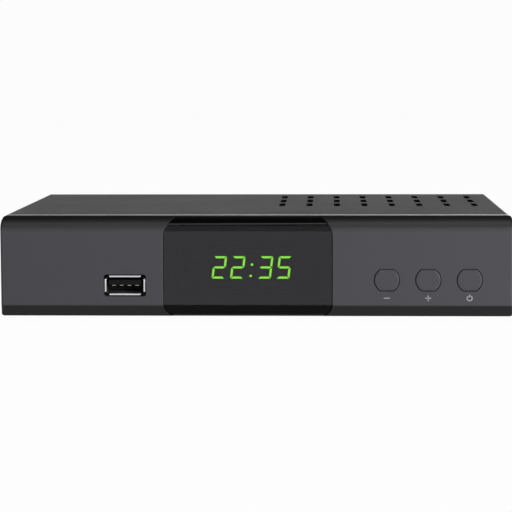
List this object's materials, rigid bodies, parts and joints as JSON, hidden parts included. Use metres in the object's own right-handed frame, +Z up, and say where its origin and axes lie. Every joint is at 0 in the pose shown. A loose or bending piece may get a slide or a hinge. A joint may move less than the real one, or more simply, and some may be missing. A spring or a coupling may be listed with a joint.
{
  "type": "terrestrial television receiver",
  "caption": "Slim set-top television receiver: steel case, moulded front with wrap-around clock window, push keys and USB port, and antenna, video, audio and power sockets behind.",
  "frame": {"origin": "on the table, under the middle of the box round the whole part", "axes": "+X to the right seen from the front, +Y to the back, +Z up"},
  "size_m": [0.1706, 0.114, 0.035],
  "materials": {
    "front_plastic": "fine-grained injection-moulded polystyrene, dark grey",
    "painted_steel": "fine-textured black powder coat on 0.8 mm sheet",
    "smoked_acrylic": "polished, dark smoked",
    "circuit_board": "glass-epoxy laminate under green solder mask",
    "display_epoxy": "black mask with green light segments",
    "black_plastic": "moulded, satin",
    "orange_plastic": "moulded, satin",
    "white_plastic": "moulded, natural",
    "chip_epoxy": "moulded package, matt",
    "capacitor_sleeve": "shrunk sleeve",
    "tinned_steel": "tin plated",
    "nickel": "nickel plated",
    "aluminium": "extruded, clear anodised",
    "zinc_steel": "zinc plated",
    "black_screw_steel": "blackened",
    "foot_rubber": "moulded, matt"
  },
  "bodies": {
    "case": {"front_panel": "front_plastic", "display_window": "smoked_acrylic", "base_tray": "painted_steel", "top_cover": "painted_steel", "display_board": "circuit_board", "main_board": "circuit_board", "clock_display": "display_epoxy", "remote_eye": "black_plastic", "usb_shell": "tinned_steel", "usb_tongue": "black_plastic", "tuner_can": "tinned_steel", "antenna_input_socket": "nickel", "antenna_loop_plug": "nickel", "hdmi_shell": "tinned_steel", "hdmi_tongue": "black_plastic", "scart_socket": "black_plastic", "audio_socket_body": "orange_plastic", "audio_socket_barrel": "nickel", "power_inlet": "black_plastic", "power_inlet_pin": "nickel", "processor": "chip_epoxy", "heat_sink": "aluminium", "memory_chip": "chip_epoxy", "flash_chip": "chip_epoxy", "crystal": "tinned_steel", "regulator": "chip_epoxy", "choke_1": "chip_epoxy", "choke_2": "chip_epoxy", "cable_plug_display": "white_plastic", "cable_plug_main": "white_plastic", "flat_cable": "white_plastic", "channel_down_switch": "black_plastic", "channel_up_switch": "black_plastic", "power_switch": "black_plastic", "board_screw_1": "zinc_steel", "board_screw_2": "zinc_steel", "board_screw_3": "zinc_steel", "board_screw_4": "zinc_steel", "display_screw_1": "zinc_steel", "capacitor_1": "capacitor_sleeve", "display_screw_2": "zinc_steel", "capacitor_2": "capacitor_sleeve", "display_screw_3": "zinc_steel", "capacitor_3": "capacitor_sleeve", "cover_screw_left": "black_screw_steel", "cover_screw_right": "black_screw_steel", "cover_screw_rear_left": "black_screw_steel", "cover_screw_rear_right": "black_screw_steel", "foot_front_left": "foot_rubber", "foot_front_right": "foot_rubber", "foot_rear_left": "foot_rubber", "foot_rear_right": "foot_rubber"},
    "channel_down_button": {"channel_down_button": "front_plastic"},
    "channel_down_switch_plunger": {"channel_down_switch_plunger": "black_plastic"},
    "channel_up_button": {"channel_up_button": "front_plastic"},
    "channel_up_switch_plunger": {"channel_up_switch_plunger": "black_plastic"},
    "power_button": {"power_button": "front_plastic"},
    "power_switch_plunger": {"power_switch_plunger": "black_plastic"}
  },
  "joints": [
    {"name": "channel_down_button_press", "type": "slide", "parent": "case", "child": "channel_down_button", "axis": [0, 1, 0], "range_m": [0, 0.0005], "stiffness_N_per_m": 800},
    {"name": "channel_down_plunger_press", "type": "slide", "parent": "case", "child": "channel_down_switch_plunger", "axis": [0, 1, 0], "range_m": [0, 0.0005]},
    {"name": "channel_up_button_press", "type": "slide", "parent": "case", "child": "channel_up_button", "axis": [0, 1, 0], "range_m": [0, 0.0005], "stiffness_N_per_m": 800},
    {"name": "channel_up_plunger_press", "type": "slide", "parent": "case", "child": "channel_up_switch_plunger", "axis": [0, 1, 0], "range_m": [0, 0.0005]},
    {"name": "power_button_press", "type": "slide", "parent": "case", "child": "power_button", "axis": [0, 1, 0], "range_m": [0, 0.0005], "stiffness_N_per_m": 800},
    {"name": "power_plunger_press", "type": "slide", "parent": "case", "child": "power_switch_plunger", "axis": [0, 1, 0], "range_m": [0, 0.0005]}
  ],
  "couplings": [
    {"joint": "channel_down_plunger_press", "follows": "channel_down_button_press", "ratio": 1},
    {"joint": "channel_up_plunger_press", "follows": "channel_up_button_press", "ratio": 1},
    {"joint": "power_plunger_press", "follows": "power_button_press", "ratio": 1}
  ]
}
